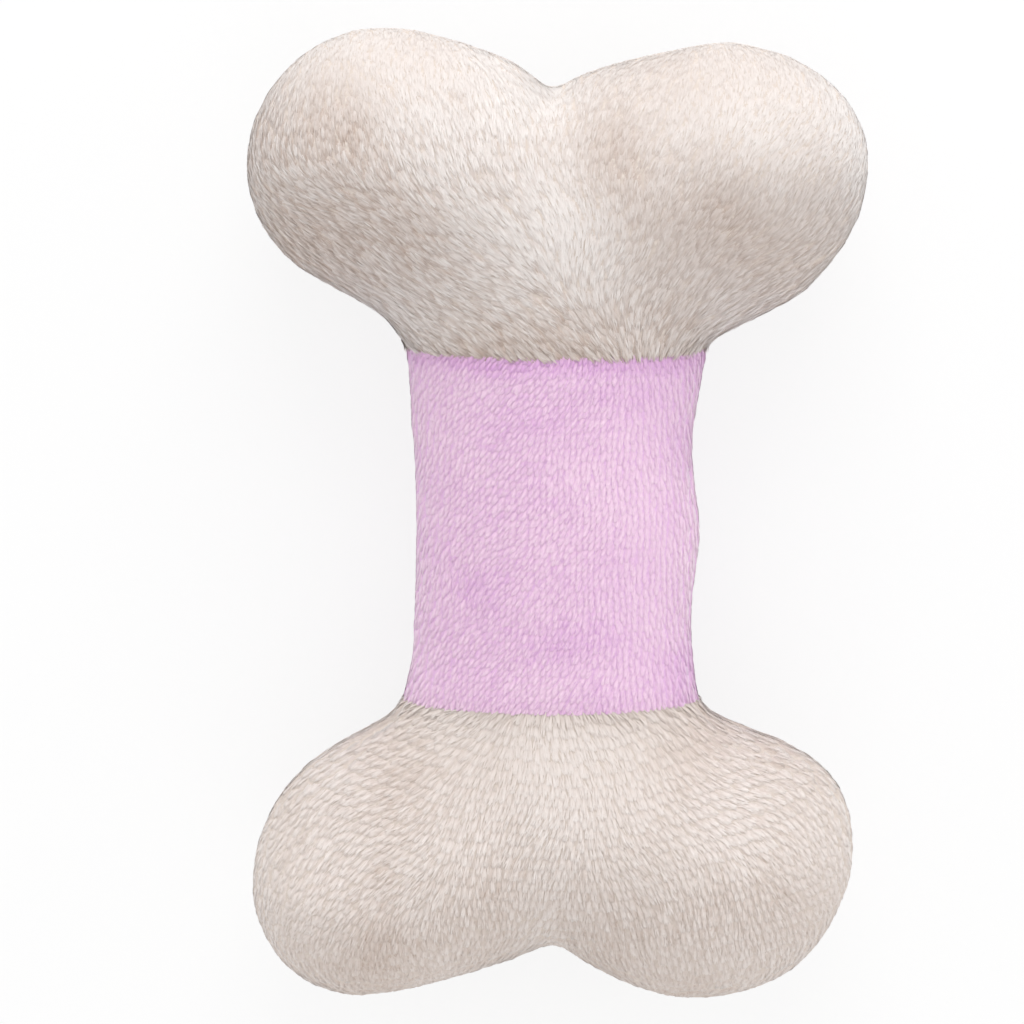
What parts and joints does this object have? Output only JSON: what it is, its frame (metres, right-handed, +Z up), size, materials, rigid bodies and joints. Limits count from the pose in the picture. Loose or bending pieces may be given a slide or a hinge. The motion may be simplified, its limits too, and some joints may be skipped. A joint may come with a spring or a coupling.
{
  "type": "squeaky plush bone",
  "caption": "Plush bone dog toy with rounded grey knuckle ends, a lilac band round its middle, fibre filling and a squeaker bulb with a reed whistle inside.",
  "frame": {"origin": "on the floor under the middle of the toy, lying on its back", "axes": "+X to the toy's right seen from its front, +Y along the bone to its upper end, +Z up out of its front"},
  "size_m": [0.1088, 0.17, 0.0475],
  "materials": {
    "grey_plush": "matte",
    "lilac_plush": "matte",
    "fibrefill": "matte",
    "grey_thread": "matte",
    "lilac_thread": "matte",
    "bulb_vinyl": "satin",
    "whistle_plastic": "satin",
    "reed_film": "gloss"
  },
  "bodies": {
    "middle": {"centre_back_panel": "lilac_plush", "centre_back_stuffing": "fibrefill", "left_side_thread": "lilac_thread", "closing_stitch": "lilac_thread", "upper_front_thread": "grey_thread", "upper_back_thread": "grey_thread", "lower_front_thread": "grey_thread", "lower_back_thread": "grey_thread", "squeaker_bulb": "bulb_vinyl", "whistle_housing": "whistle_plastic", "reed_bed": "whistle_plastic", "reed_clamp": "whistle_plastic"},
    "front_press": {"centre_front_panel": "lilac_plush", "centre_front_stuffing": "fibrefill"},
    "upper_end": {"upper_front_panel": "grey_plush", "upper_back_panel": "grey_plush", "upper_left_stuffing": "fibrefill", "upper_right_stuffing": "fibrefill", "upper_edge_thread": "grey_thread"},
    "lower_end": {"lower_front_panel": "grey_plush", "lower_back_panel": "grey_plush", "lower_left_stuffing": "fibrefill", "lower_right_stuffing": "fibrefill", "lower_edge_thread": "grey_thread"},
    "reed": {"reed_tongue": "reed_film"}
  },
  "joints": [
    {"name": "squeeze", "type": "slide", "parent": "middle", "child": "front_press", "axis": [0, 0, -1], "range_m": [0, 0.012], "stiffness_N_per_m": 900, "springref_m": -0.001, "deforming": ["centre_front_panel", "centre_front_stuffing", "squeaker_bulb"]},
    {"name": "upper_bend", "type": "hinge", "parent": "middle", "child": "upper_end", "pos_m": [0, 0.0295, 0.0235], "axis": [1, 0, 0], "range_deg": [-20, 20], "stiffness_Nm_per_rad": 1, "deforming": ["centre_front_panel", "centre_back_panel", "centre_front_stuffing", "centre_back_stuffing", "upper_front_thread", "upper_back_thread"]},
    {"name": "lower_bend", "type": "hinge", "parent": "middle", "child": "lower_end", "pos_m": [0, -0.032, 0.0235], "axis": [-1, 0, 0], "range_deg": [-20, 20], "stiffness_Nm_per_rad": 1, "deforming": ["centre_front_panel", "centre_back_panel", "centre_front_stuffing", "centre_back_stuffing", "lower_front_thread", "lower_back_thread"]},
    {"name": "reed_flutter", "type": "hinge", "parent": "middle", "child": "reed", "pos_m": [0, 0.0133, 0.0235], "axis": [-1, 0, 0], "range_deg": [-2.5, 4], "stiffness_Nm_per_rad": 0.00002}
  ]
}
